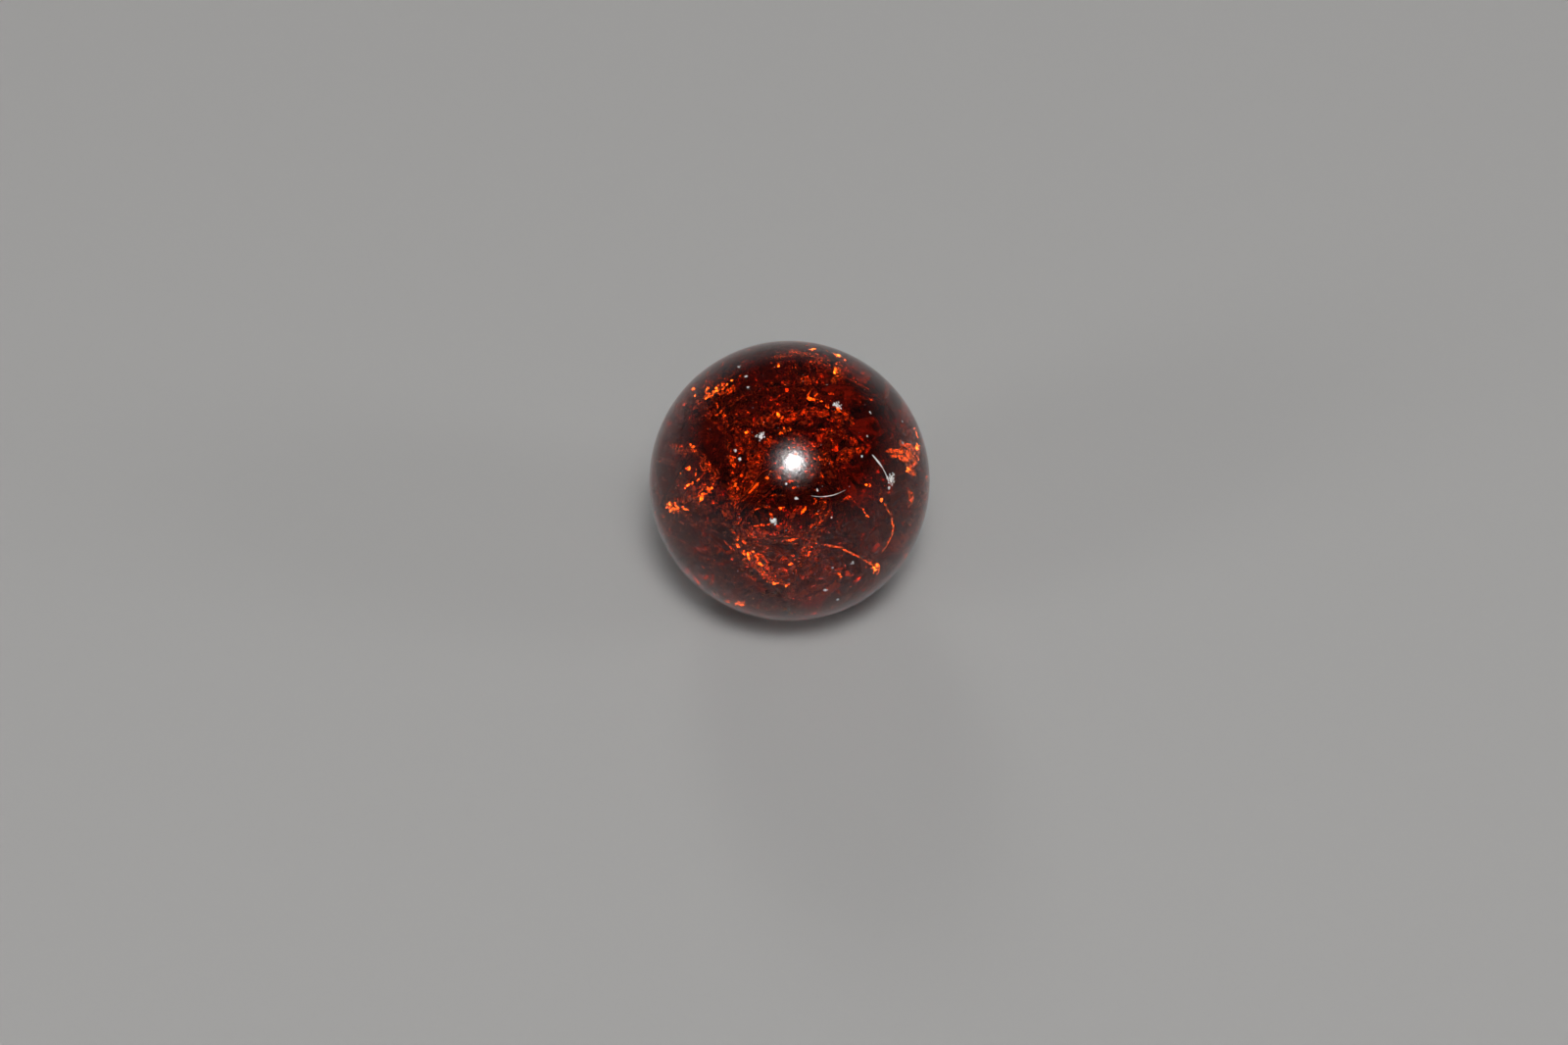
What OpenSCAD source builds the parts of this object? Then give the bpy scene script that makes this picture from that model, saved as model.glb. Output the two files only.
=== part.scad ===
// Crackle-glass marble: one solid ball of clear coloured glass, full of fine cracks.
//
// The ball was heated and quenched, so the inside broke into many small curved cracks while
// the polished skin stayed whole. Each crack is a sealed, lens-thin gap in the one solid.
// Origin: the centre of the ball. +Z is up.

/* [Ball] */
// Diameter of the ball
marble_d = 16; // [12:0.5:25]
// Whole glass between the polished surface and the nearest crack
skin_t = 0.3; // [0.2:0.1:1]

/* [Cracks] */
// Width of the widest cracks, from edge to edge
crack_w = 1.7; // [1.4:0.1:3]
// Share of that width which the narrowest cracks have
crack_min_share = 0.6; // [0.5:0.05:1]
// Opening between the two faces of a crack, at its middle
crack_gap = 0.04; // [0.02:0.01:0.06]
// Radius of the curved, shell-like faces of the cracks
crack_bow_r = 2; // [1.2:0.1:3]
// Least glass left between two neighbouring cracks
crack_web = 0.2; // [0.1:0.05:1]
// Which of the many possible tilts and widths the cracks get
crack_seed = 7; // [1:1:50]

/* [Hidden] */
$fn = 96;

marble_r = marble_d / 2;
crack_step = crack_w + crack_web;               // from one layer of cracks to the next
outer_layer_r = marble_r - skin_t - crack_w / 2; // where the outermost cracks are centred
golden_angle = 180 * (3 - sqrt(5));
// Nearest neighbours of n points on a golden-angle spiral over a sphere of radius r lie
// about this many times r / sqrt(n) apart.
spiral_spacing = 3.09;

// How many cracks fit on a layer of radius r with a crack_step between their centres.
function layer_count(r) = max(1, floor(pow(spiral_spacing * r / crack_step, 2)));

// The i-th of n directions spread evenly over a sphere.
function spiral_direction(i, n) =
    let (z = 1 - (2 * i + 1) / n, across = sqrt(1 - z * z), turn = i * golden_angle)
    [across * cos(turn), across * sin(turn), z];

// One crack, lying flat: the sliver between two spheres that meet at its rim.
module crack(width) {
    half = width / 2;
    bow = crack_bow_r - sqrt(crack_bow_r * crack_bow_r - half * half);
    flatter_bow = bow - crack_gap;
    flatter_r = (half * half + flatter_bow * flatter_bow) / (2 * flatter_bow);
    difference() {
        translate([0, 0, bow - crack_bow_r]) sphere(r = crack_bow_r);
        translate([0, 0, flatter_bow - flatter_r]) sphere(r = flatter_r);
    }
}

// All the cracks of one layer, each with its own width and tilt.
module crack_layer(r, layer) {
    n = layer_count(r);
    share = rands(crack_min_share, 1, n, crack_seed + layer);
    tilt = rands(0, 180, n, crack_seed + 2 * layer + 100);
    spin = rands(0, 360, n, crack_seed + 3 * layer + 200);
    for (i = [0 : n - 1])
        translate(r * spiral_direction(i, n))
            rotate([tilt[i], 0, spin[i]])
                crack(crack_w * share[i]);
}

module marble() {
    color([0.42, 0.07, 0.02, 0.85])
        difference() {
            sphere(d = marble_d);
            for (layer = [0 : floor(outer_layer_r / crack_step)])
                crack_layer(outer_layer_r - layer * crack_step, layer);
        }
}

marble();
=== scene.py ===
# %% [markdown]
# # A crackled glass marble
#
# The real thing is one solid ball of clear glass, coloured deep amber red in the melt. It was heated and
# dropped into cold water. The shock broke the inside into hundreds of small curved cracks, while the
# polished skin stayed whole.
#
# Nothing inside is painted or coloured apart from the glass. Each crack is a film of air, and glass turns
# light back at air as a mirror does. So the ball is almost black where light passes through it, and it
# glitters orange wherever a crack happens to face the lamp.
#
# We build it in the same order: a flawless skin, the cracks inside it, the dust on it, and then a lamp for
# the cracks to catch. First comes the CAD ball, because every size below is worked out from it.

# %% Load the CAD ball and read its size
import bmesh
import bpy
import math
import random
from bisect import bisect
from mathutils import Matrix, Quaternion, Vector, noise


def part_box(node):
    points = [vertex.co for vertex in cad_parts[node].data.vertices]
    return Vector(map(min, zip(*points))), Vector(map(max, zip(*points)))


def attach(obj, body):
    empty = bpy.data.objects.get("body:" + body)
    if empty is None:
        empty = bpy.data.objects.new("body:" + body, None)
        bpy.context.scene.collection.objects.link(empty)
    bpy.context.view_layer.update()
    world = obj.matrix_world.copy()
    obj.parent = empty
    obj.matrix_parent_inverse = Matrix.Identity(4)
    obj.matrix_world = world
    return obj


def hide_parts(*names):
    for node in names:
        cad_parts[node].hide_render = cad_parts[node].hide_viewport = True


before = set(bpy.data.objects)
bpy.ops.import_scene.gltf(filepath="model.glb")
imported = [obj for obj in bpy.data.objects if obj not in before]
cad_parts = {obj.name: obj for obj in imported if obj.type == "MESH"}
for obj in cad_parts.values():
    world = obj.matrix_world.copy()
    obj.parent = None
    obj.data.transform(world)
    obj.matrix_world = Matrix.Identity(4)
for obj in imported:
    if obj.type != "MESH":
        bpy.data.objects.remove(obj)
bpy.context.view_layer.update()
low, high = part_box("marble")
MM = 0.001
centre = (low + high) / 2
ball_r = (high.z - low.z) / 2 / MM

# %% [markdown]
# ## Two helpers for small meshes
# A crackled ball needs thousands of tiny shapes. Moving a few vertices inside a mesh that already holds
# thousands is slow, because each operator looks at the whole mesh. It is much faster to model a shape once,
# keep it as a template, and add moved copies of it.
#
# The meshes are modelled in millimetres round the ball's centre, as the CAD model is. They are brought to
# metres, and to their place, when a piece is finished. The finished object itself stays at the origin.

# %% Keep a template, stamp copies of it, and finish a piece
def template(bm, name="template"):
    """Turn a bmesh into a mesh that copies can be made of."""
    mesh = bpy.data.meshes.new(name)
    bm.to_mesh(mesh)
    bm.free()
    return mesh


def stamp(target, shape, place):
    """Add a moved copy of a template to the bmesh that is being filled."""
    copy = shape.copy()
    copy.transform(place)
    target.from_mesh(copy)
    bpy.data.meshes.remove(copy)


def sort_faces(bm):
    """Operators that extrude a rim add its faces in a new order each run, so put them in a fixed one."""
    bm.verts.index_update()
    count = len(bm.verts)

    def rank(face):
        first, second, third = (corner.index for corner in face.verts[:3])
        return (first * count + second) * count + third

    bm.faces.sort(key=rank)


def finish_piece(bm, name, *materials):
    """Turn a filled bmesh into a piece of the marble, in metres."""
    sort_faces(bm)
    mesh = template(bm, name)
    mesh.transform(Matrix.Translation(centre) @ Matrix.Scale(MM, 4))
    for material in materials:
        mesh.materials.append(material)
    piece = bpy.data.objects.new(name, mesh)
    bpy.context.scene.collection.objects.link(piece)
    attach(piece, "root")
    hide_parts("marble")
    print(f"{name}: {len(mesh.polygons)} faces")


# %% [markdown]
# ## Shader maths as plain Python
# A material is a tree of nodes. Clicked together it is easy to read, but written out it soon isn't. So one
# small class wraps a node's output and lets us write `1 - mask` or `distance / reach`, and a second one
# adds any other node from its type, its settings and its inputs.

# %% Wrap a node's output, so that maths reads as maths
class Wire:
    """The output of a node. Maths on it adds a Math node and gives that node's output."""

    def __init__(self, tree, socket):
        self.tree = tree
        self.socket = socket

    def maths(self, operation, first, second):
        return self.tree.node("ShaderNodeMath", {"operation": operation}, {0: first, 1: second})

    def __add__(self, other):
        return self.maths("ADD", self, other)

    def __sub__(self, other):
        return self.maths("SUBTRACT", self, other)

    def __rsub__(self, other):
        return self.maths("SUBTRACT", other, self)

    def __mul__(self, other):
        return self.maths("MULTIPLY", self, other)

    def __truediv__(self, other):
        return self.maths("DIVIDE", self, other)

    def __rtruediv__(self, other):
        return self.maths("DIVIDE", other, self)

    def __pow__(self, other):
        return self.maths("POWER", self, other)

    __radd__ = __add__
    __rmul__ = __mul__


# %% Add any node from its type, its settings and its inputs
class Tree:
    """The emptied node tree of a material, a lamp or the world."""

    def __init__(self, owner):
        owner.use_nodes = True
        self.nodes = owner.node_tree.nodes
        self.links = owner.node_tree.links
        self.nodes.clear()

    def node(self, kind, settings={}, inputs={}, output=0):
        """Add a node, set it up, and set or link its inputs. What comes back is one of its outputs."""
        made = self.nodes.new(kind)
        for name, value in settings.items():
            setattr(made, name, value)
        for name, value in inputs.items():
            if isinstance(value, Wire):
                self.links.new(value.socket, made.inputs[name])
            else:
                made.inputs[name].default_value = value
        return Wire(self, made.outputs[output]) if made.outputs else made

    def grain(self, size, detail=2.0):
        """Soft noise from 0 to 1 whose patches are about size millimetres across."""
        where = self.node("ShaderNodeTexCoord", output="Object")
        spots = self.node(
            "ShaderNodeTexNoise", inputs={"Vector": where, "Scale": 1 / (size * MM), "Detail": detail}
        )
        return self.stretch(spots, 0.32, 0.68, 0, 1)

    def stretch(self, value, low_in, high_in, low_out, high_out):
        """Carry the range from low_in to high_in over to the range from low_out to high_out."""
        limits = {"From Min": low_in, "From Max": high_in, "To Min": low_out, "To Max": high_out}
        return self.node("ShaderNodeMapRange", inputs={"Value": value, **limits})


# %% [markdown]
# ## Where the eye and the lamps are
# A crack flashes only when its tilt is just right: it has to throw the light of a lamp to the eye. On a
# real ball there are so many cracks that some always do. With a few thousand we help a little, so we need
# to know where the eye and the lamps are. Each is given by its turn from the front towards the right, and
# its height above the bench, both in degrees.

# %% Name the directions, and the axes of the view
def direction(turn, height):
    turn = math.radians(turn)
    height = math.radians(height)
    return Vector((math.sin(turn) * math.cos(height), -math.cos(turn) * math.cos(height), math.sin(height)))


EYE_HEIGHT = 44.5
to_eye = direction(0, EYE_HEIGHT)
view_up = direction(180, 90 - EYE_HEIGHT)
view_right = Vector((1, 0, 0))

to_key = direction(6, 59.6)
to_side_lamps = {"left": direction(-62, 20), "right": direction(78, 20), "back": direction(-166, 30)}
print(f"the key lamp stands {math.degrees(to_eye.angle(to_key)):.1f} degrees from the eye")


# %% [markdown]
# ## How the ball bends what we see
# A glass ball is a strong lens. Something inside it isn't where it seems to be, so two small sums follow
# the bent light. One goes in from the eye: we say where a crack should seem to be, and it gives the crack's
# true place. The other comes out: it says in which direction light must leave a crack, inside the glass, to
# end up parallel to a given axis once it is outside.

# %% Follow light into the ball
GLASS_IOR = 1.52
OUTERMOST = 0.98  # of the radius: any nearer the edge, the sums are unsteady
DEEPER = 0.01


def in_view(across, up, towards):
    """A point in shares of the ball's radius: to the right, up the view, and towards the eye."""
    return (view_right * across + view_up * up + to_eye * towards) * ball_r


def seen_at(across, up, depth):
    """The point that seems to be at (across, up), at a depth along the bent ray, in radii."""
    entry = in_view(across, up, math.sqrt(1 - across ** 2 - up ** 2))
    normal = entry.normalized()
    facing = normal.dot(to_eye)
    inwards = math.sqrt(1 - (1 - facing ** 2) / GLASS_IOR ** 2)
    ray = normal * (facing / GLASS_IOR - inwards) - to_eye / GLASS_IOR
    return entry + ray * depth * ball_r


def seen_inside(across, up, depth, reach):
    """The same, but moved on along the bent ray until it is within reach millimetres of the centre."""
    off_axis = math.hypot(across, up)
    if off_axis > OUTERMOST:
        across, up = across * OUTERMOST / off_axis, up * OUTERMOST / off_axis
    point = seen_at(across, up, depth)
    while point.length > reach and depth < 1:
        depth += DEEPER
        point = seen_at(across, up, depth)
    return point


example = seen_at(0.6, 0.3, 0.4)
print(f"a crack seen at (0.60, 0.30) really lies at ({example.dot(view_right) / ball_r:.2f},"
      f" {example.dot(view_up) / ball_r:.2f})")

# %% Follow light out of the ball
HALVINGS = 30


def way_out(point, axis):
    """The direction, inside the glass, in which light leaves point to be parallel to axis outside.

    Light that leaves higher up, off the axis, is bent more. So the height that the light of this
    point has when it leaves is closed in on by halving.
    """
    along = point.dot(axis) / ball_r
    sideways = point / ball_r - axis * along
    off_axis = sideways.length
    if off_axis < 1e-6:
        return axis.copy()
    least, most = 0.0, 0.999
    for _ in range(HALVINGS):
        height = (least + most) / 2
        bend = math.asin(height) - math.asin(height / GLASS_IOR)
        reached = height - (math.sqrt(1 - height ** 2) - along) * math.tan(bend)
        if reached < off_axis:
            least = height
        else:
            most = height
    return (axis * math.cos(bend) + sideways.normalized() * math.sin(bend)).normalized()


bent = way_out(in_view(0.5, 0, 0.3), to_eye).angle(to_eye)
print(f"light from half-way across is bent by {math.degrees(bent):.1f} degrees on its way to the eye")

# %% [markdown]
# With those, the tilt that makes a crack flash is the one half-way between the way to the eye and the way
# to the lamp. The front half is tuned for the eye. The rest is tuned for someone who walks round the bench
# and looks down at the ball a little, so that it glitters from every side.

# %% Find the tilt at which a crack flashes
WALK_HEIGHT = 19
STOPS = 8  # how often someone who walks round the bench stands still to look
LOOKS_ASIDE = 30
FRONT_STARTS = -0.05  # towards the eye, in radii
FRONT_NARROWS = 0.6
LIT_AT_MIDDLE = 0.72  # how far off a lamp's axis its light gets, in radii
LIT_MORE_TOWARDS = 0.73


def nearest_eye(point, dice):
    """The eye of the view for the front of the ball, and one of the walk's stops for the rest."""
    if point.dot(to_eye) > max(FRONT_STARTS * ball_r, FRONT_NARROWS * abs(point.dot(view_right))):
        return to_eye
    turn = math.degrees(math.atan2(point.x, -point.y)) + dice.uniform(-LOOKS_ASIDE, LOOKS_ASIDE)
    return direction(round(turn * STOPS / 360) * 360 / STOPS, WALK_HEIGHT)


def reaches(point, lamp):
    """Whether the light of a lamp gets to a point. A ball's bending leaves a dark crescent behind it."""
    along = point.dot(lamp) / ball_r
    off_axis = (point / ball_r - lamp * along).length
    return off_axis < LIT_AT_MIDDLE + LIT_MORE_TOWARDS * along


def flashing_normal(point, eye):
    """The way a crack faces when it throws light to the eye, from the lamp nearest that eye."""
    lamps = sorted([to_key, *to_side_lamps.values()], key=eye.dot, reverse=True)
    lamp = next((lamp for lamp in lamps if reaches(point, lamp)), lamps[0])
    return (way_out(point, eye) + way_out(point, lamp)).normalized()


def any_direction(dice):
    return Vector([dice.gauss(0, 1) for _ in range(3)]).normalized()


def tilted(normal, spread, dice):
    """The normal, tipped any way by an angle that is mostly under spread degrees."""
    hinge = normal.cross(any_direction(dice)).normalized()
    return Quaternion(hinge, math.radians(abs(dice.gauss(0, spread)))) @ normal


lean = flashing_normal(Vector(), to_eye).angle(to_eye)
print(f"a crack in the middle flashes when it leans {math.degrees(lean):.1f} degrees away from the eye")

# %% [markdown]
# ## Where the glass broke
# Glass that is chilled from outside breaks into cells, much as drying mud does. A good model of such cells
# is to drop points into the ball and give each point the space that is nearer to it than to any other.
#
# Each cell starts as a ball and is cut with a plane half-way to each neighbour. The flat walls that the
# cuts leave are the places of the cracks. A wall is kept by only one of the two cells that share it.

# %% Drop the points for the cells
CELLS = 60
CELL_SPACING = 1.3
SKIN_T = 0.36
core_r = ball_r - SKIN_T
cell_dice = random.Random(4)
cell_points = []
while len(cell_points) < CELLS:
    spot = Vector([cell_dice.uniform(-ball_r, ball_r) for _ in range(3)])
    if spot.length < ball_r and all((spot - other).length > CELL_SPACING for other in cell_points):
        cell_points.append(spot)
print(f"{len(cell_points)} cells inside a whole skin of {SKIN_T} mm")

# %% Cut each cell out of the ball, and keep its walls
NEIGHBOURS = 22
LEAST_WALL = 0.36  # square millimetres
OWN_WALL = 1


def cell_walls(number):
    """The walls that this cell shares with later cells, as a bmesh of separate flat faces."""
    point = cell_points[number]
    others = sorted((p for p in cell_points if p is not point), key=lambda p: (p - point).length)
    cell = bmesh.new()
    bmesh.ops.create_icosphere(cell, subdivisions=3, radius=core_r)
    for other in others[:NEIGHBOURS]:
        cut = bmesh.ops.bisect_plane(
            cell, geom=cell.verts[:] + cell.edges[:] + cell.faces[:], dist=1e-5,
            plane_co=(point + other) / 2, plane_no=(other - point).normalized(), clear_outer=True,
        )
        rim = [part for part in cut["geom_cut"] if isinstance(part, bmesh.types.BMEdge)]
        if rim:
            for wall in bmesh.ops.contextual_create(cell, geom=rim)["faces"]:
                wall.material_index = OWN_WALL if cell_points.index(other) > number else 0
    unwanted = [f for f in cell.faces if f.material_index != OWN_WALL or f.calc_area() < LEAST_WALL]
    bmesh.ops.delete(cell, geom=unwanted, context="FACES")
    bmesh.ops.split_edges(cell, edges=cell.edges[:])
    return cell


walls = bmesh.new()
for number in range(CELLS):
    stamp(walls, template(cell_walls(number)), Matrix())
print(f"{len(walls.faces)} walls between the cells")


# %% [markdown]
# ## The glass ball and its large cracks
# The ball is one mesh: the polished skin, and inside it each large crack as a closed film of air. The film's
# faces point into the air, away from the glass, as the faces of any hollow in a solid do. The renderer
# then sees what happens in real glass: light that meets a crack squarely goes through, and light that
# grazes it is turned back.
#
# A real crack isn't flat. It bows and ripples like the inside of a shell, because the stress in the glass
# changes as the crack runs. Smooth noise at three sizes bends the flat walls in that way.

# %% Bend a point of a flat wall as the stress bent the crack
noise.seed_set(4)  # without this, noise_vector starts from the clock and every run is different


def stressed(point):
    bow = noise.noise_vector(point * 0.16) * 1.2
    swell = noise.noise_vector(point * 0.5 + Vector((3, 1, 7))) * 0.35
    ripple = noise.noise_vector(point * 1.6 + Vector((5, 9, 2))) * 0.05
    return point + bow + swell + ripple


def keep_in_core(bm):
    """Pull back what the bending has pushed into the whole skin."""
    for corner in bm.verts:
        if corner.co.length > core_r:
            corner.co = corner.co.normalized() * core_r


moved = max((stressed(corner.co) - corner.co).length for corner in walls.verts)
print(f"the stress moves the walls by up to {moved:.2f} mm")

# %% Keep some of the walls as large cracks, and open them into films
WHOLE_SHARE = 0.35
LONGEST_EDGE = 0.35
FILM_T = 0.03
SPLITTINGS = 5
crack_dice = random.Random(11)
cracks = walls.copy()
healed = [face for face in cracks.faces if crack_dice.random() > WHOLE_SHARE]
bmesh.ops.delete(cracks, geom=healed, context="FACES")
for wall in cracks.faces:
    size = crack_dice.uniform(0.5, 1)
    about = Matrix.Translation(-wall.calc_center_median())
    bmesh.ops.scale(cracks, vec=(size, size, size), space=about, verts=wall.verts)
crack_count = len(cracks.faces)
bmesh.ops.poke(cracks, faces=cracks.faces[:])
for _ in range(SPLITTINGS):
    long_edges = [edge for edge in cracks.edges if edge.calc_length() > LONGEST_EDGE]
    bmesh.ops.subdivide_edges(cracks, edges=long_edges, cuts=1, use_grid_fill=True)
    bmesh.ops.triangulate(cracks, faces=cracks.faces[:])
for corner in cracks.verts:
    corner.co = stressed(corner.co)
keep_in_core(cracks)
bmesh.ops.recalc_face_normals(cracks, faces=cracks.faces[:])
bmesh.ops.solidify(cracks, geom=cracks.faces[:], thickness=FILM_T)
keep_in_core(cracks)
bmesh.ops.recalc_face_normals(cracks, faces=cracks.faces[:])
bmesh.ops.reverse_faces(cracks, faces=cracks.faces[:])
print(f"{crack_count} large cracks, {len(cracks.faces)} faces")

# %% Close the skin round them
SKIN, FILM = 0, 1
glass = bmesh.new()
bmesh.ops.create_icosphere(glass, subdivisions=7, radius=ball_r)
for face in glass.faces:
    face.material_index = SKIN
films = template(cracks)
for film in films.polygons:
    film.material_index = FILM
stamp(glass, films, Matrix())
for face in glass.faces:
    face.smooth = True
print(f"{len(glass.faces)} faces of skin and films")

# %% [markdown]
# ### Amber glass
# The colour of glass comes from depth: the further light travels in it, the more green and blue it loses.
# Absorption in the volume does that. On its own it makes thin places yellow and thick ones blood red, and
# this glass stays a warm orange red throughout, so part of the tint sits on the surface.
#
# The polish isn't perfect. Handling leaves hair-fine scratches and a faint orange-peel ripple. Both are far
# too small to see on their own, but they break up the edge of the lamp's reflection.

# %% Mix the amber glass for the skin
SKIN_TINT = (1.0, 0.135, 0.012, 1)
LOST_PER_METRE = (90, 235, 450)  # red, green and blue light
densest = 1.02 * max(LOST_PER_METRE)

amber_glass = bpy.data.materials.new("amber_glass")
tree = Tree(amber_glass)
peel = tree.grain(0.28, 3)
scuffs = tree.grain(1.6, 6) ** 4
polish = tree.node("ShaderNodeBump", inputs={"Height": peel, "Strength": 1.0, "Distance": 3e-6})
skin = tree.node("ShaderNodeBsdfPrincipled", inputs={
    "Base Color": SKIN_TINT, "Transmission Weight": 1.0, "IOR": GLASS_IOR,
    "Roughness": scuffs * 0.03, "Normal": polish,
})
depth_tint = tree.node("ShaderNodeVolumeAbsorption", inputs={
    "Color": [1 - lost / densest for lost in LOST_PER_METRE] + [1], "Density": densest,
})
tree.node("ShaderNodeOutputMaterial", inputs={"Surface": skin, "Volume": depth_tint})
through = ", ".join(f"{math.exp(-lost * 2 * ball_r * MM):.1%}" for lost in LOST_PER_METRE)
print(f"of red, green and blue light, {through} comes through the middle of the ball")

# %% Leave the faces of the large cracks clear, with frosted patches
crack_faces = bpy.data.materials.new("crack_faces")
tree = Tree(crack_faces)
frost = tree.grain(0.5, 4) ** 3
film = tree.node("ShaderNodeBsdfPrincipled", inputs={
    "Base Color": (1, 1, 1, 1), "Transmission Weight": 1.0, "IOR": GLASS_IOR, "Roughness": frost * 0.12,
})
tree.node("ShaderNodeOutputMaterial", inputs={"Surface": film})

finish_piece(glass, "glass_ball", amber_glass, crack_faces)


# %% [markdown]
# ## The small cracks
# Between the large cracks the glass is full of flake-sized ones. Each is a lens of air some tenths of a
# millimetre wide, and most lie along the cell walls, where the stress was worst.
#
# Thousands of closed films would cost the renderer a great many bounces. A flake that turns light back at
# every angle looks the same and needs only one, so the small cracks are mirrors. A few dozen templates with
# different outlines are enough, because each copy is turned, stretched and tipped in its own way.

# %% Model one flake: two bowed discs that share a ragged rim
def flake(dice, corners, smooth, fine):
    bm = bmesh.new()
    bmesh.ops.create_circle(bm, cap_ends=True, segments=dice.choice(corners), radius=0.5)
    for corner in bm.verts:
        corner.co *= dice.uniform(0.5, 1.2)
    bmesh.ops.poke(bm, faces=bm.faces[:])
    if fine:
        spokes = [edge for edge in bm.edges if not edge.is_boundary]
        bmesh.ops.subdivide_edges(bm, edges=spokes, cuts=1)
        bmesh.ops.triangulate(bm, faces=bm.faces[:])
    bow = dice.uniform(0.015, 0.15)
    twist = dice.uniform(-0.4, 0.4)
    for corner in bm.verts:
        x, y = corner.co.x, corner.co.y
        corner.co.z = bow * (1 - 4 * (x * x + y * y)) + twist * x * y + dice.gauss(0, 0.015)
    other_face = bmesh.ops.duplicate(bm, geom=bm.verts[:] + bm.edges[:] + bm.faces[:])["geom"]
    for part in other_face:
        if isinstance(part, bmesh.types.BMVert) and not part.is_boundary:
            part.co.z -= 0.05
    bmesh.ops.remove_doubles(bm, verts=bm.verts[:], dist=1e-4)
    bmesh.ops.recalc_face_normals(bm, faces=bm.faces[:])
    for face in bm.faces:
        face.smooth = smooth
    return template(bm)


flake_dice = random.Random(5)
large_flakes = [flake(flake_dice, (6, 7, 8), k % 2 == 0, True) for k in range(16)]
small_flakes = [flake(flake_dice, (5, 6, 7), k % 2 == 0, False) for k in range(32)]
tiny_flakes = [flake(flake_dice, (4, 5), k % 2 == 0, False) for k in range(24)]
print(f"flakes of {min(len(m.polygons) for m in tiny_flakes)} to"
      f" {max(len(m.polygons) for m in large_flakes)} faces")

# %% [markdown]
# ### Where the small cracks crowd
# They aren't spread evenly. They swarm in some places and leave others as clear, dark windows, and that is
# what gives this ball its face. Each swarm and each window is a soft round cloud. The far side, which has
# no face to match, gets its swarms from smooth noise.

# %% Say how thickly the small cracks crowd at a point
# across, up and towards the eye, then the radius, all in radii of the ball, and the strength
SWARMS = [
    (-0.12, 0.22, 0.45, 0.28, 1.0), (0.2, 0.2, 0.45, 0.18, 0.9), (-0.22, -0.12, 0.5, 0.13, 1.0),
    (-0.25, -0.4, 0.4, 0.14, 1.0), (0.15, -0.22, 0.5, 0.12, 0.9), (0.15, -0.5, 0.4, 0.13, 1.0),
    (-0.03, -0.58, 0.42, 0.14, 0.9), (-0.62, -0.05, 0.45, 0.15, 0.9), (-0.62, -0.22, 0.4, 0.12, 1.0),
    (-0.4, 0.5, 0.4, 0.15, 1.0), (0.1, 0.62, 0.35, 0.14, 0.5), (0.72, 0.12, 0.4, 0.1, 1.0),
    (0.5, -0.5, 0.45, 0.08, 1.0), (0.0, 0.0, -0.2, 0.35, 0.5), (-0.45, -0.68, 0.2, 0.12, 0.8),
    (0.4, 0.0, -0.2, 0.3, 0.3), (0.02, 0.0, 0.4, 0.32, 0.5),
]
WINDOWS = [
    (0.45, -0.02, 0.45, 0.18, 0.97), (0.45, 0.42, 0.4, 0.2, 0.95), (0.1, -0.8, 0.3, 0.22, 0.95),
    (-0.58, 0.3, 0.45, 0.18, 0.97), (0.0, -0.32, 0.6, 0.1, 0.95), (0.42, -0.33, 0.5, 0.19, 0.97),
    (-0.65, -0.45, 0.3, 0.18, 0.92), (0.12, 0.74, 0.35, 0.14, 0.9),
]
LOOSE_SHARE = 0.06
print(f"{len(SWARMS)} swarms and {len(WINDOWS)} windows")


def cloud(place, across, up, towards, radius, strength):
    """How much of a soft round cloud, drawn out along the view, reaches a place."""
    gap = place - Vector((across, up, towards))
    gap.z *= 0.6
    return strength * math.exp(-gap.length_squared / radius ** 2)


def crowding(point):
    place = Vector((point.dot(view_right), point.dot(view_up), point.dot(to_eye))) / ball_r
    crowd = LOOSE_SHARE + sum(cloud(place, *swarm) for swarm in SWARMS)
    for window in WINDOWS:
        crowd *= 1 - cloud(place, *window)
    if place.z < 0.1:
        crowd += max(0, 1.6 * noise.noise(point * 0.45) + 0.1)
    return min(crowd, 1)


# %% Pick random places on the walls
STRAY = 0.12  # how far a flake may lie from its wall
spots = []
for wall in walls.faces:
    middle = wall.calc_center_median()
    corners = [corner.co.copy() for corner in wall.verts]
    for this, following in zip(corners, corners[1:] + corners[:1]):
        area = (this - middle).cross(following - middle).length / 2
        spots.append((middle, this, following, wall.normal.copy(), area))
running_area = [0.0]
for spot in spots:
    running_area.append(running_area[-1] + spot[-1])


def place_on_wall(dice):
    """A random point of the walls, bent as the wall is, with the wall's normal."""
    middle, this, following, normal, _ = spots[bisect(running_area, dice.random() * running_area[-1]) - 1]
    outwards = math.sqrt(dice.random())
    round_it = dice.random()
    flat = middle * (1 - outwards) + this * (outwards * (1 - round_it)) + following * (outwards * round_it)
    return stressed(flat) + Vector([dice.gauss(0, STRAY) for _ in range(3)]), normal


print(f"{running_area[-1]:.0f} square millimetres of wall")

# %% Stamp the flakes along the walls of the cells
ALONG_WALL_TILT = 35
FLASHING_SHARE = 0.15
FLAKE_MISSES = (1.5, 8)  # degrees off the tilt that flashes
SIZE_SPREAD = 0.45


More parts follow.
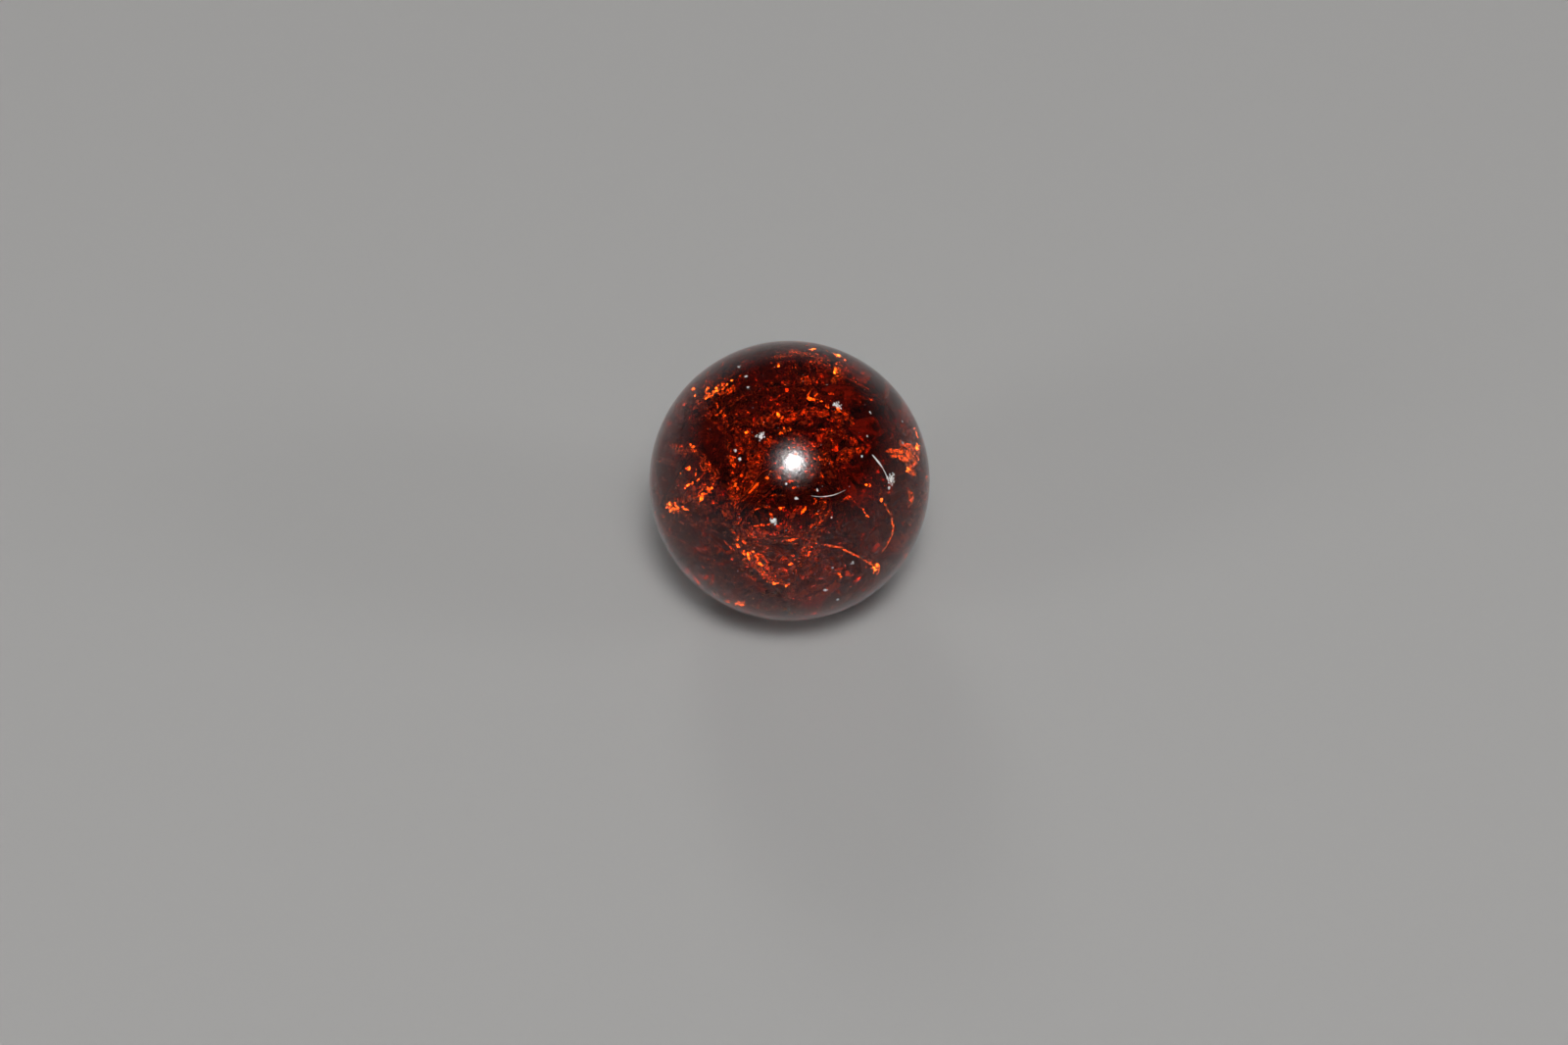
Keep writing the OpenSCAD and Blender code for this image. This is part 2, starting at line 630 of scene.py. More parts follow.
def lay_flakes(count, typical_width, shapes):
    """Fill a bmesh with flakes, as thickly as they crowd at each point."""
    flakes = bmesh.new()
    stamped = 0
    while stamped < count:
        point, normal = place_on_wall(flake_dice)
        width = typical_width * flake_dice.lognormvariate(0, SIZE_SPREAD)
        if flake_dice.random() > crowding(point) or point.length > core_r - width:
            continue
        if flake_dice.random() < FLASHING_SHARE:
            eye = nearest_eye(point, flake_dice)
            facing = tilted(flashing_normal(point, eye), flake_dice.choice(FLAKE_MISSES), flake_dice)
        else:
            facing = tilted(normal, ALONG_WALL_TILT, flake_dice)
        turn = facing.to_track_quat("Z", "X") @ Quaternion((0, 0, 1), flake_dice.uniform(0, math.tau))
        length = width * flake_dice.uniform(0.7, 2.2)
        stretch = Vector((length, width * flake_dice.uniform(0.4, 1), width))
        stamp(flakes, flake_dice.choice(shapes), Matrix.LocRotScale(point, turn, stretch))
        stamped += 1
    return flakes


glints = lay_flakes(10500, 0.19, small_flakes + large_flakes[:6])
fine_glints = lay_flakes(15000, 0.10, tiny_flakes)
print(f"{len(glints.faces)} and {len(fine_glints.faces)} faces")

# %% [markdown]
# ### The faces of the small cracks
# A crack face is as fresh as broken glass can be, but no two spots on it turn back the same light. Some are
# as sharp as a mirror, some are hackled and grey. Fine grain in the colour and in the roughness gives that
# range, from white-hot sparks to a rusty haze, and a bump much finer than any flake crumbles the sparks.

# %% Make a finish for broken faces
MIRROR_SHARE = 0.8


def broken_face(name, colour, dullest, sharpest, roughest, grain_size, hackle):
    """A mirror whose strength and sharpness change from spot to spot. hackle is a height in microns."""
    material = bpy.data.materials.new(name)
    tree = Tree(material)
    strength = tree.stretch(tree.grain(grain_size), 0, 1, dullest, 1)
    bright = (*colour, 1)
    shade = tree.node(
        "ShaderNodeMix", {"data_type": "RGBA"}, {"Factor": strength, "A": (0, 0, 0, 1), "B": bright}, 2
    )
    roughness = tree.stretch(tree.grain(grain_size * 2.1), 0, 1, sharpest, roughest)
    crumble = tree.node("ShaderNodeBump", inputs={
        "Height": tree.grain(grain_size * 0.45, 3), "Strength": 1.0, "Distance": hackle * 1e-6,
    })
    mirror = tree.node("ShaderNodeBsdfPrincipled", inputs={
        "Base Color": shade, "Metallic": MIRROR_SHARE, "Roughness": roughness, "Normal": crumble,
    })
    tree.node("ShaderNodeOutputMaterial", inputs={"Surface": mirror})
    return material


small_crack_faces = broken_face(
    "small_crack_faces", (1, 0.82, 0.6), dullest=0.22, sharpest=0.04, roughest=0.22, grain_size=0.3,
    hackle=11,
)
finish_piece(glints, "crack_glints", small_crack_faces)
finish_piece(fine_glints, "fine_crack_glints", small_crack_faces)

# %% [markdown]
# ### Where they flash together
# In some places the glass broke into splinters that all lie nearly the same way. They flash together, and
# make the hot spots and the bright streaks of this ball. Each one is a small cloud of tiny flakes. The
# brightest have a core, whose splinters miss the right tilt by hardly anything.

# %% List the hot spots and their cores
# across, up and depth, in radii; then length and width in millimetres, the lean in degrees, and the count
HOT_SPOTS = [
    (-0.51, 0.63, 0.16, 1.4, 0.34, 30, 120), (-0.58, 0.64, 0.18, 0.5, 0.16, 40, 24),
    (-0.68, 0.645, 0.14, 0.2, 0.15, 0, 8), (-0.66, 0.61, 0.14, 0.2, 0.15, 0, 6),
    (-0.703, 0.086, 0.2, 0.35, 0.25, 45, 24), (-0.775, 0.05, 0.18, 0.3, 0.12, 10, 12),
    (-0.65, 0.06, 0.2, 0.35, 0.12, 80, 12), (-0.69, -0.025, 0.2, 0.9, 0.14, 28, 36),
    (-0.57, -0.055, 0.22, 0.6, 0.25, 10, 30), (-0.61, -0.12, 0.22, 0.6, 0.18, 65, 26),
    (-0.84, -0.19, 0.12, 0.65, 0.55, 0, 90), (-0.75, -0.2, 0.14, 0.7, 0.4, 0, 24),
    (-0.886, -0.25, 0.08, 0.16, 0.14, 0, 10), (-0.36, -0.42, 0.28, 0.8, 0.3, 80, 24),
    (-0.29, -0.51, 0.26, 0.7, 0.4, -60, 44), (-0.22, -0.54, 0.26, 1.0, 0.4, -60, 48),
    (-0.19, -0.635, 0.24, 0.4, 0.3, 0, 40), (-0.1, -0.707, 0.2, 0.75, 0.12, 0, 40),
    (-0.02, -0.72, 0.2, 0.35, 0.2, 0, 14), (0.007, -0.566, 0.3, 0.45, 0.16, 75, 26),
    (0.16, -0.45, 0.32, 1.8, 0.35, 60, 60), (0.02, -0.4, 0.4, 0.9, 0.16, 20, 26),
    (-0.2, -0.31, 0.4, 0.9, 0.18, 5, 34), (-0.05, -0.18, 0.35, 0.3, 0.2, 20, 20),
    (-0.35, -0.864, 0.07, 0.6, 0.24, 0, 90), (-0.44, -0.853, 0.06, 0.18, 0.16, 0, 20),
    (0.606, -0.608, 0.09, 0.6, 0.45, -30, 90), (0.84, -0.52, 0.06, 0.5, 0.12, 42, 24),
    (0.34, -0.65, 0.2, 0.6, 0.14, -55, 16), (0.425, -0.74, 0.12, 0.14, 0.12, 0, 6),
    (0.64, -0.135, 0.22, 0.4, 0.13, -55, 24), (0.547, -0.03, 0.3, 0.3, 0.14, 30, 12),
    (0.54, -0.236, 0.28, 0.6, 0.08, -50, 14), (0.898, 0.237, 0.06, 0.35, 0.2, 80, 50),
    (0.97, 0.026, 0.03, 0.25, 0.15, 0, 20), (0.895, 0.34, 0.06, 0.5, 0.12, -75, 24),
    (0.84, 0.07, 0.16, 0.4, 0.3, -40, 24), (-0.09, 0.8, 0.18, 0.3, 0.25, 0, 24),
    (0.16, 0.924, 0.05, 0.25, 0.15, 0, 14), (0.34, 0.885, 0.07, 0.9, 0.12, -26, 44),
    (0.32, 0.78, 0.14, 0.65, 0.1, 80, 24), (0.16, 0.57, 0.3, 0.9, 0.16, -12, 36),
    (0.34, 0.49, 0.32, 0.4, 0.3, 40, 34), (-0.07, 0.45, 0.3, 0.4, 0.14, -50, 30),
    (-0.06, 0.33, 0.3, 0.22, 0.2, 0, 24), (-0.44, 0.46, 0.3, 0.2, 0.14, 0, 8),
    (-0.3, 0.35, 0.35, 0.22, 0.2, 0, 12), (-0.67, 0.24, 0.2, 0.45, 0.14, -25, 18),
    (0.27, 0.14, 0.35, 0.3, 0.2, 30, 14), (0.1, -0.2, 0.4, 0.4, 0.2, 50, 20),
]
CORES = [
    (0.606, -0.608, 0.08, 0.4, 0.3, -30, 130), (0.898, 0.237, 0.06, 0.3, 0.14, 80, 70),
    (-0.84, -0.19, 0.12, 0.35, 0.35, 0, 60), (-0.35, -0.864, 0.07, 0.5, 0.2, 0, 110),
    (-0.5, 0.63, 0.18, 0.9, 0.1, 30, 45), (-0.43, -0.85, 0.06, 0.2, 0.14, 0, 30),
]
print(f"{len(HOT_SPOTS)} hot spots and {len(CORES)} cores")

# %% Scatter their splinters
SPLINTER_W = 0.055
SPOT_MISSES = (1, 4, 9)  # degrees off the tilt that flashes
CORE_MISSES = (0.5, 2)
LEAN_SPREAD = 25
spark_dice = random.Random(17)
sparks = bmesh.new()


def lie_along(facing, lean):
    """Turn a piece so that it faces one way, and its length follows the lean, as seen by the eye."""
    angle = math.radians(lean)
    tip = view_right * math.cos(angle) + view_up * math.sin(angle)
    along = (tip - facing * tip.dot(facing)).normalized()
    return Matrix((along, facing.cross(along), facing)).transposed().to_quaternion()


def scatter_splinters(across, up, depth, length, width, lean, count, misses):
    lean_x, lean_y = math.cos(math.radians(lean)), math.sin(math.radians(lean))
    # near the rim a small tilt moves the flash a long way, so less of it is allowed there
    squeeze = math.sqrt(1 - min(0.93, across ** 2 + up ** 2))
    for _ in range(count):
        along = spark_dice.gauss(0, length / 4) / ball_r
        over = spark_dice.gauss(0, width / 4) / ball_r
        point = seen_inside(
            across + along * lean_x - over * lean_y, up + along * lean_y + over * lean_x,
            depth + spark_dice.gauss(0, width / 3) / ball_r, core_r - SPLINTER_W,
        )
        facing = tilted(flashing_normal(point, to_eye), spark_dice.choice(misses) * squeeze, spark_dice)
        size = SPLINTER_W * spark_dice.lognormvariate(0, 0.4)
        stretch = Vector((size * spark_dice.uniform(0.8, 3), size, size * 0.15))
        turn = lie_along(facing, lean + spark_dice.gauss(0, LEAN_SPREAD))
        stamp(sparks, spark_dice.choice(small_flakes), Matrix.LocRotScale(point, turn, stretch))


for spots_of_a_kind, misses in ((HOT_SPOTS, SPOT_MISSES), (CORES, CORE_MISSES)):
    for spot in spots_of_a_kind:
        scatter_splinters(*spot, misses)
spark_faces = broken_face(
    "spark_faces", (1, 0.92, 0.76), dullest=0.25, sharpest=0, roughest=0.07, grain_size=0.09, hackle=0.5
)
finish_piece(sparks, "crack_sparks", spark_faces)


# %% [markdown]
# ## The crumpled veins
# Where two cracks ran into each other, the glass between them is crumpled like foil, and these veins hold
# the brightest glitter. A vein is a row of small ragged scraps that follow it. A scrap starts as a grid,
# loses its corners along a wandering outline, is crumpled with noise at three sizes, and gets a thickness.

# %% Model one crumpled scrap
def scrap(dice, cells, crumple, bend, smooth):
    bm = bmesh.new()
    bmesh.ops.create_grid(bm, x_segments=cells, y_segments=cells, size=0.5)
    shift = any_direction(dice) * 50
    outside = [
        corner for corner in bm.verts
        if corner.co.length > 0.4 + 0.16 * noise.noise(corner.co * 4 + shift)
        + 0.05 * noise.noise(corner.co * 14 + shift)
    ]
    bmesh.ops.delete(bm, geom=outside, context="VERTS")
    bmesh.ops.delete(bm, geom=[c for c in bm.verts if not c.link_faces], context="VERTS")
    for _ in range(2):
        rim = [corner for corner in bm.verts if corner.is_boundary]
        bmesh.ops.smooth_vert(bm, verts=rim, factor=0.5, use_axis_x=True, use_axis_y=True, use_axis_z=True)
    for corner in bm.verts:
        flat = corner.co.copy()
        corner.co.z -= bend * flat.length_squared
        for size, height in crumple:
            corner.co.z += height * noise.noise(flat * size + shift)
    bmesh.ops.triangulate(bm, faces=bm.faces[:])
    bmesh.ops.recalc_face_normals(bm, faces=bm.faces[:])
    bmesh.ops.solidify(bm, geom=bm.faces[:], thickness=0.012)
    bmesh.ops.recalc_face_normals(bm, faces=bm.faces[:])
    for face in bm.faces:
        face.smooth = smooth
    return template(bm)


CRUMPLE = [(1.6, 0.07), (5, 0.04), (12, 0.015)]
vein_dice = random.Random(9)
scraps = [scrap(vein_dice, 13, CRUMPLE, 0, k % 3 > 0) for k in range(12)]
print(f"scraps of about {sum(len(s.polygons) for s in scraps) // len(scraps)} faces")

# %% [markdown]
# ### Where the veins run
# Each vein of the face is a few points that it should seem to pass through, how deep it lies, and how wide
# it is in millimetres. `seen_at` finds the true places.

# %% List the veins that show from the front
VEINS = [
    ([(-0.43, -0.05), (-0.37, -0.38), (-0.32, -0.56), (-0.22, -0.68)], 0.32, 1.1),
    ([(-0.32, -0.42), (-0.17, -0.66), (-0.03, -0.73)], 0.28, 1.0),
    ([(0.24, -0.16), (0.18, -0.36), (0.1, -0.56)], 0.3, 1.0),
    ([(-0.25, -0.34), (-0.05, -0.38), (0.06, -0.24)], 0.45, 0.9),
    ([(0.16, 0.12), (0.34, 0.13), (0.48, 0.22)], 0.35, 1.0),
    ([(-0.18, 0.42), (0.09, 0.5), (0.33, 0.5), (0.45, 0.3)], 0.45, 1.1),
    ([(-0.35, 0.35), (-0.2, 0.1), (-0.3, -0.1)], 0.4, 1.3),
    ([(-0.2, 0.3), (0.0, 0.25), (0.2, 0.3)], 0.5, 1.4),
    ([(-0.83, 0.22), (-0.67, 0.2), (-0.52, 0.04), (-0.67, -0.11), (-0.84, -0.2)], 0.25, 0.65),
    ([(-0.67, 0.54), (-0.52, 0.62), (-0.42, 0.67)], 0.2, 0.45),
    ([(-0.56, 0.47), (-0.34, 0.41)], 0.4, 0.8),
    ([(-0.1, 0.9), (0.05, 0.92), (0.34, 0.84), (0.33, 0.72)], 0.12, 0.6),
]
front_veins = [([seen_at(*spot, depth) for spot in route], width) for route, depth, width in VEINS]
print(f"{len(front_veins)} veins in front")

# %% Let the rest wander round the far side
BACK_VEINS = 22
VEIN_STEP = 1.3


def wandering_vein(number):
    """A short walk at one depth, from a point of an even spiral over the sphere."""
    rise = 1 - (2 * number + 1) / BACK_VEINS
    turn = number * math.degrees(math.pi * (3 - math.sqrt(5)))
    point = direction(turn, math.degrees(math.asin(rise))) * ball_r * vein_dice.uniform(0.55, 0.88)
    heading = point.cross(any_direction(vein_dice)).normalized()
    route = [point]
    for _ in range(vein_dice.randint(1, 3)):
        heading = (heading + any_direction(vein_dice) * 0.6).normalized()
        route.append((route[-1] + heading * VEIN_STEP).normalized() * point.length)
    return route, vein_dice.uniform(0.6, 1.2)


back_veins = [wandering_vein(number) for number in range(BACK_VEINS)]
back_veins = [vein for vein in back_veins if vein[0][0].dot(to_eye) < 0.25 * ball_r]
print(f"{len(back_veins)} veins round the other sides")

# %% Lay the scraps along each vein
SCRAPS_PER_STEP = 2
SCRAP_STRAY = 0.16  # of the vein's width
SCRAP_SIZE = 0.75  # of the vein's width
SCRAP_MISSES = 14
veins = bmesh.new()


def lay_scraps(start, end, width, eye):
    """Fill one stretch of a vein. Without an eye, each scrap flashes for the nearest one."""
    steps = max(1, round((end - start).length / (width * 0.45)))
    for step in range(steps * SCRAPS_PER_STEP):
        point = start.lerp(end, (step // SCRAPS_PER_STEP + vein_dice.random()) / steps)
        point += Vector([vein_dice.gauss(0, width * SCRAP_STRAY) for _ in range(3)])
        point += point.normalized() * vein_dice.uniform(-0.8, 0.2)
        size = SCRAP_SIZE * width * vein_dice.lognormvariate(0, 0.3)
        length = size * vein_dice.uniform(1, 1.9)
        if point.length > core_r - length / 2:
            point = point.normalized() * (core_r - length / 2)
        facing = flashing_normal(point, eye or nearest_eye(point, vein_dice))
        facing = tilted(facing, SCRAP_MISSES, vein_dice)
        along = (end - start).cross(facing).normalized()
        turn = Matrix((facing.cross(along) * -1, along * -1, facing)).transposed().to_quaternion()
        stretch = Vector((length, size * vein_dice.uniform(0.6, 1), size))
        stamp(veins, vein_dice.choice(scraps), Matrix.LocRotScale(point, turn, stretch))


for eye, group in ((to_eye, front_veins), (None, back_veins)):
    for route, width in group:
        for start, end in zip(route, route[1:]):
            lay_scraps(start, end, width, eye)
print(f"the veins have {len(veins.faces)} faces")

# %% Finish the veins
vein_faces = broken_face(
    "vein_faces", (1, 0.8, 0.58), dullest=0.03, sharpest=0.08, roughest=0.34, grain_size=0.17, hackle=12
)
finish_piece(veins, "crack_veins", vein_faces)


# %% [markdown]
# ## The shell-shaped cracks
# A few cracks near the skin are larger and smooth, and curve like the inside of a shell. Such a crack
# doesn't glitter. It glows: white-hot where it throws the middle of the lamp to the eye, and fading to deep
# red round it. The scraps serve again, with hardly any crumple and an even bend instead. Long narrow ones,
# laid end to end, make the fine bright lines.

# %% Place the shell-shaped cracks
# across, up and depth, in radii; then length and width in millimetres, the lean in degrees, and the bow
SHELLS = [
    (0.84, 0.19, 0.12, 3.0, 2.1, 6, 0.6), (0.9, 0.22, 0.07, 1.0, 0.7, 60, 0.5),
    (0.75, 0.21, 0.16, 1.8, 0.6, 4, 0.8), (0.8, 0.18, 0.14, 2.4, 1.3, 4, 1.0),
    (0.86, 0.14, 0.12, 1.8, 1.2, 60, 0.9),
    (0.86, 0.07, 0.14, 1.2, 0.8, -40, 0.8), (0.85, -0.11, 0.13, 1.4, 0.8, -60, 1.0),
    (-0.52, 0.62, 0.18, 1.5, 0.3, 30, 0.5), (-0.8, -0.2, 0.15, 1.4, 0.6, 0, 0.8),
    (-0.36, -0.86, 0.07, 1.0, 0.3, 0, 0.6), (0.34, 0.89, 0.07, 0.9, 0.2, -26, 0.6),
    (0.68, -0.19, 0.13, 1.1, 0.14, -55, 0.5), (0.714, -0.262, 0.13, 1.35, 0.17, -75, 0.5),
    (0.721, -0.34, 0.13, 1.35, 0.2, 85, 0.5), (0.703, -0.405, 0.13, 1.2, 0.16, 63, 0.5),
    (0.662, -0.475, 0.13, 1.4, 0.14, 58, 0.5), (0.295, -0.45, 0.18, 1.6, 0.18, -10, 0.5),
    (0.43, -0.5, 0.16, 2.1, 0.18, -27, 0.5), (0.555, -0.57, 0.13, 1.5, 0.18, -34, 0.5),
]
SHELL_CRUMPLE = [(2.2, 0.03), (7, 0.006)]
shell_dice = random.Random(14)
shells = [scrap(shell_dice, 17, SHELL_CRUMPLE, 0.28, True) for _ in range(5)]
smooth_cracks = bmesh.new()
for across, up, depth, length, width, lean, bow in SHELLS:
    point = seen_inside(across, up, depth, core_r - width / 3)
    turn = lie_along(flashing_normal(point, to_eye), lean)
    size = Vector((length, width, width * 1.5 * bow))
    stamp(smooth_cracks, shell_dice.choice(shells), Matrix.LocRotScale(point, turn, size))
keep_in_core(smooth_cracks)
shell_faces = broken_face(
    "shell_faces", (1, 0.85, 0.62), dullest=0.1, sharpest=0.14, roughest=0.42, grain_size=0.16, hackle=6
)
finish_piece(smooth_cracks, "shell_cracks", shell_faces)


# %% [markdown]
# ## Dust and lint
# Glass picks up dust as soon as it is set down. There are a few pale clumps, some hairs of lint and a
# scatter of specks, mostly on the upper side. They lie on the skin, and each is sunk a little so that none
# of them floats.

# %% Stick a speck on the skin
dust = bmesh.new()
dust_dice = random.Random(21)


def stick_speck(point, width):
    normal = point.normalized()
    turn = normal.to_track_quat("Z", "X") @ Quaternion((0, 0, 1), dust_dice.uniform(0, math.tau))
    size = Vector((width * dust_dice.uniform(0.7, 1.4), width, width * 0.7))
    stamp(dust, dust_dice.choice(small_flakes), Matrix.LocRotScale(normal * ball_r, turn, size))


def on_skin(across, up):
    return in_view(across, up, math.sqrt(1 - across ** 2 - up ** 2))


# %% Set down the clumps and the loose specks
# across and up in radii of the ball, the clump's width in millimetres, and its specks
CLUMPS = [
    (-0.2, 0.31, 0.55, 45), (-0.11, -0.28, 0.5, 38), (0.33, 0.525, 0.55, 45), (0.705, 0.015, 0.75, 90),
    (0.69, -0.045, 0.2, 12), (-0.355, 0.8, 0.2, 10), (-0.3, 0.73, 0.24, 12), (0.56, 0.475, 0.16, 7),
    (0.79, 0.27, 0.24, 9), (0.54, 0.31, 0.1, 3), (0.5, 0.17, 0.1, 3),
    (-0.37, 0.21, 0.24, 8), (-0.34, 0.15, 0.18, 6), (0.29, -0.25, 0.1, 3), (0.19, -0.06, 0.14, 4),
    (0.25, -0.76, 0.34, 14), (0.34, -0.83, 0.24, 9), (0.44, -0.57, 0.22, 8), (0.3, -0.6, 0.14, 4),
    (0.79, 0.42, 0.14, 4), (-0.02, -0.02, 0.14, 4), (0.05, -0.12, 0.22, 8), (-0.29, 0.65, 0.2, 6),
]
for across, up, width, specks in CLUMPS:
    for _ in range(specks):
        offset = any_direction(dust_dice) * width * dust_dice.uniform(0, 0.5)
        stick_speck(on_skin(across, up) + offset, dust_dice.uniform(0.07, 0.15))
LOOSE_SPECKS = 170
for _ in range(LOOSE_SPECKS):
    upwards = any_direction(dust_dice) + Vector((0, 0, 0.5))
    stick_speck(upwards, dust_dice.uniform(0.02, 0.05))
print(f"{sum(clump[-1] for clump in CLUMPS) + LOOSE_SPECKS} specks of dust")


# %% [markdown]
# A hair of lint is a thread far thinner than a millimetre. It starts as a tiny disc, which is pushed along
# a curve step by step, and it tapers to both ends.

# %% Lay hairs of lint on the skin
HAIR_STEPS = 14


def lay_hair(start, middle, end, thickness):
    """A thread on the skin from start past middle to end, each as across and up."""
    steps = HAIR_STEPS
    hair = bmesh.new()
    ring = bmesh.ops.create_circle(hair, cap_ends=True, segments=6, radius=0.5)["verts"]
    route = []
    for step in range(steps + 1):
        t = step / steps
        across, up = (
            a * (1 - t) ** 2 + 2 * b * t * (1 - t) + c * t ** 2 for a, b, c in zip(start, middle, end)
        )
        route.append(on_skin(across, up).normalized() * (ball_r + thickness * 0.25))
    for step, point in enumerate(route):
        if step:
            tip = [face for face in hair.faces if all(corner in ring for corner in face.verts)]
            grown = bmesh.ops.extrude_face_region(hair, geom=tip)["geom"]
            ring = [part for part in grown if isinstance(part, bmesh.types.BMVert)]
        ahead = (route[min(step + 1, steps)] - route[max(step - 1, 0)]).normalized()
        side = point.cross(ahead).normalized()
        width = thickness * (0.35 + 0.65 * math.sin(math.pi * step / steps))
        for k, corner in enumerate(ring):
            angle = math.tau * k / len(ring)
            corner.co = point + (side * math.cos(angle) + point.normalized() * math.sin(angle)) * width / 2
    bmesh.ops.recalc_face_normals(hair, faces=hair.faces[:])
    stamp(dust, template(hair), Matrix())


HAIRS = [
    ((0.57, 0.182), (0.61, 0.138), (0.645, 0.088), 0.11),
    ((0.64, 0.095), (0.668, 0.055), (0.685, 0.0), 0.045),
    ((0.15, -0.1), (0.27, -0.125), (0.385, -0.06), 0.035),
]
for hair in HAIRS:
    lay_hair(*hair)
print(f"{len(HAIRS)} hairs of lint")

# %% Give the dust its colour
dust_grey = bpy.data.materials.new("dust_grey")
tree = Tree(dust_grey)
fluff = tree.node(
    "ShaderNodeMix", {"data_type": "RGBA"},
    {"Factor": tree.grain(0.2), "A": (0.62, 0.60, 0.57, 1), "B": (0.92, 0.90, 0.87, 1)}, 2,
)
speck_face = tree.node("ShaderNodeBsdfPrincipled", inputs={
    "Base Color": fluff, "Roughness": tree.stretch(tree.grain(0.1), 0, 1, 0.7, 1),
})
tree.node("ShaderNodeOutputMaterial", inputs={"Surface": speck_face})
finish_piece(dust, "surface_dust", dust_grey)


# %% [markdown]
# ## The floor
# A plain pale bench. It touches the ball's lowest point and runs far enough back to fill the view.

# %% Lay the floor
FLOOR_HALF = 1500
PALE = 0.41
floor_bm = bmesh.new()
bmesh.ops.create_grid(floor_bm, x_segments=1, y_segments=1, size=FLOOR_HALF)
floor_mesh = template(floor_bm, "floor")
floor_mesh.transform(Matrix.Translation((0, 0, low.z)) @ Matrix.Scale(MM, 4))
bench = bpy.data.materials.new("pale_bench")
tree = Tree(bench)
matt = tree.node("ShaderNodeBsdfPrincipled", inputs={
    "Base Color": (PALE, PALE * 0.985, PALE * 0.97, 1), "Roughness": 0.6, "Specular IOR Level": 0.2,
})
tree.node("ShaderNodeOutputMaterial", inputs={"Surface": matt})
floor_mesh.materials.append(bench)
floor = bpy.data.objects.new("floor", floor_mesh)
bpy.context.scene.collection.objects.link(floor)
print(f"the floor lies at {low.z / MM:.2f} mm")

# %% [markdown]
# ## The camera
# A long lens close to the bench, looking down at the ball. The ball sits a little above and to the right
# of the middle of the frame, so the camera is aimed at a point just below it.

# %% Set up the camera
EYE_DISTANCE = 209.4
AIM_BELOW = 2.365
AIM_LEFT = 0.308
lens = bpy.data.cameras.new("camera")
lens.lens = 55
lens.sensor_width = 23.5
camera = bpy.data.objects.new("camera", lens)
bpy.context.scene.collection.objects.link(camera)
camera.location = centre + to_eye * EYE_DISTANCE * MM
aim = centre - (view_up * AIM_BELOW + view_right * AIM_LEFT) * MM
camera.rotation_euler = (aim - camera.location).to_track_quat("-Z", "Y").to_euler()
bpy.context.scene.camera = camera
print(f"the camera is {(camera.location - centre).length / MM:.1f} mm from the ball")


# %% [markdown]
# ## The lamps
# A ball of glass shows the lamp itself, as its one white highlight. A round lamp with a hard edge gives a
# hard white dot. This one is brightest in the middle and fades outwards, so the dot gets a soft halo, and
# the cracks that catch only the lamp's skirt glow instead of flash.
#
# A disc lamp's own coordinates run from 0 to 1 across it, so the distance from (0.5, 0.5) says how far out
# a point of the lamp is.

# %% Hang a disc lamp
def hang_lamp(name, towards, distance, half_angle, radiance):
    """A round lamp whose distance is in metres. Seen from the ball, half_angle is its middle to its edge."""
    size = 2 * distance * math.tan(math.radians(half_angle))
    light = bpy.data.lights.new(name, "AREA")
    light.shape = "DISK"
    light.size = size
    light.energy = radiance * math.pi * math.pi * (size / 2) ** 2
    lamp = bpy.data.objects.new(name, light)
    bpy.context.scene.collection.objects.link(lamp)
    lamp.location = centre + towards * distance
    lamp.rotation_euler = (-towards).to_track_quat("-Z", "Y").to_euler()
    print(f"{name} lamp: {light.energy:.1f} W")
    return lamp


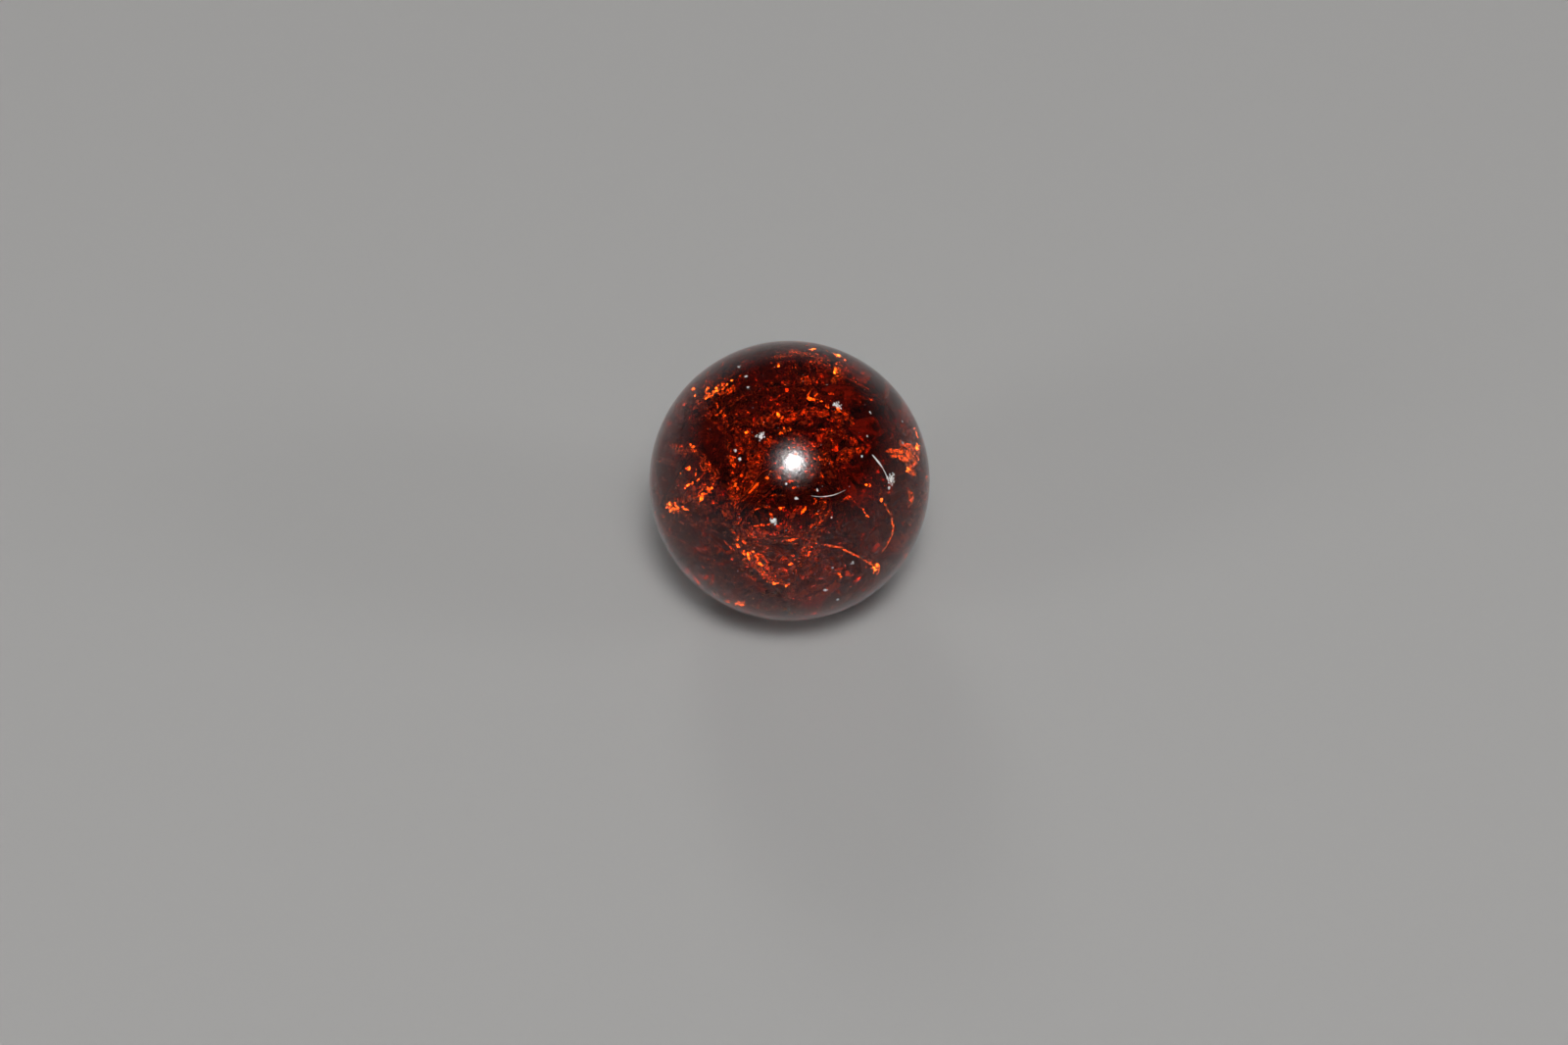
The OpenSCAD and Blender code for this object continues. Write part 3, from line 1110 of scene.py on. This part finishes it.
# %% The key lamp, bright in the middle
KEY_RADIANCE = 48
KEY_HALF_ANGLE = 24
HALF_AS_BRIGHT_AT = 6
key = hang_lamp("key", to_key, distance=1.2, half_angle=KEY_HALF_ANGLE, radiance=KEY_RADIANCE)
tree = Tree(key.data)
across_lamp = tree.node("ShaderNodeNewGeometry", output="Parametric")
out_from_middle = tree.node(
    "ShaderNodeVectorMath", {"operation": "DISTANCE"}, {0: across_lamp, 1: (0.5, 0.5, 0)}, "Value"
)
half_way = 0.5 * math.tan(math.radians(HALF_AS_BRIGHT_AT)) / math.tan(math.radians(KEY_HALF_ANGLE))
glow = 1 / (1 + (out_from_middle / half_way) ** 3.4) * (1 - (out_from_middle * 2) ** 2)
glow = tree.node("ShaderNodeEmission", inputs={"Strength": glow})
tree.node("ShaderNodeOutputLight", inputs={"Surface": glow})

# %% [markdown]
# Three small lamps stand round the ball for the cracks that face away from the key lamp. The skin would
# show each of them as a stray white dot, so they are hidden from reflections. They still shine through the
# skin and on the cracks.

# %% The side lamps, which only the cracks see
for name, towards in to_side_lamps.items():
    lamp = hang_lamp(name, towards, distance=1.4, half_angle=8, radiance=7)
    lamp.visible_glossy = False

# %% The room: about as bright as the floor at eye level, and darker overhead
HORIZON = 0.26
OVERHEAD = 0.03
world = bpy.data.worlds.new("room")
bpy.context.scene.world = world
tree = Tree(world)
looking = tree.node("ShaderNodeTexCoord", output="Generated")
upwards = tree.node("ShaderNodeSeparateXYZ", inputs={0: looking}, output="Z")
room = tree.node("ShaderNodeBackground", inputs={
    "Color": (1, 1, 1, 1), "Strength": tree.stretch(upwards, 0, 0.4, HORIZON, OVERHEAD),
})
tree.node("ShaderNodeOutputWorld", inputs={"Surface": room})
print(f"the room fades from {HORIZON} at eye level to {OVERHEAD} overhead")

# %% [markdown]
# ## Light paths
# Light that enters a crackled ball meets many faces before it leaves, so the usual limit of a dozen bounces
# would turn the inside black. The usual clamp on bounced light would also cut off every spark, because each
# spark is the lamp seen by way of a mirror. So the limits go up and the clamp comes off.

# %% Allow enough bounces, and let the sparks be bright
scene = bpy.context.scene
scene.view_settings.view_transform = "Standard"
scene.cycles.max_bounces = 48
scene.cycles.transmission_bounces = 48
scene.cycles.glossy_bounces = 24
scene.cycles.transparent_max_bounces = 32
scene.cycles.sample_clamp_indirect = 0
print(f"light may bounce {scene.cycles.max_bounces} times")
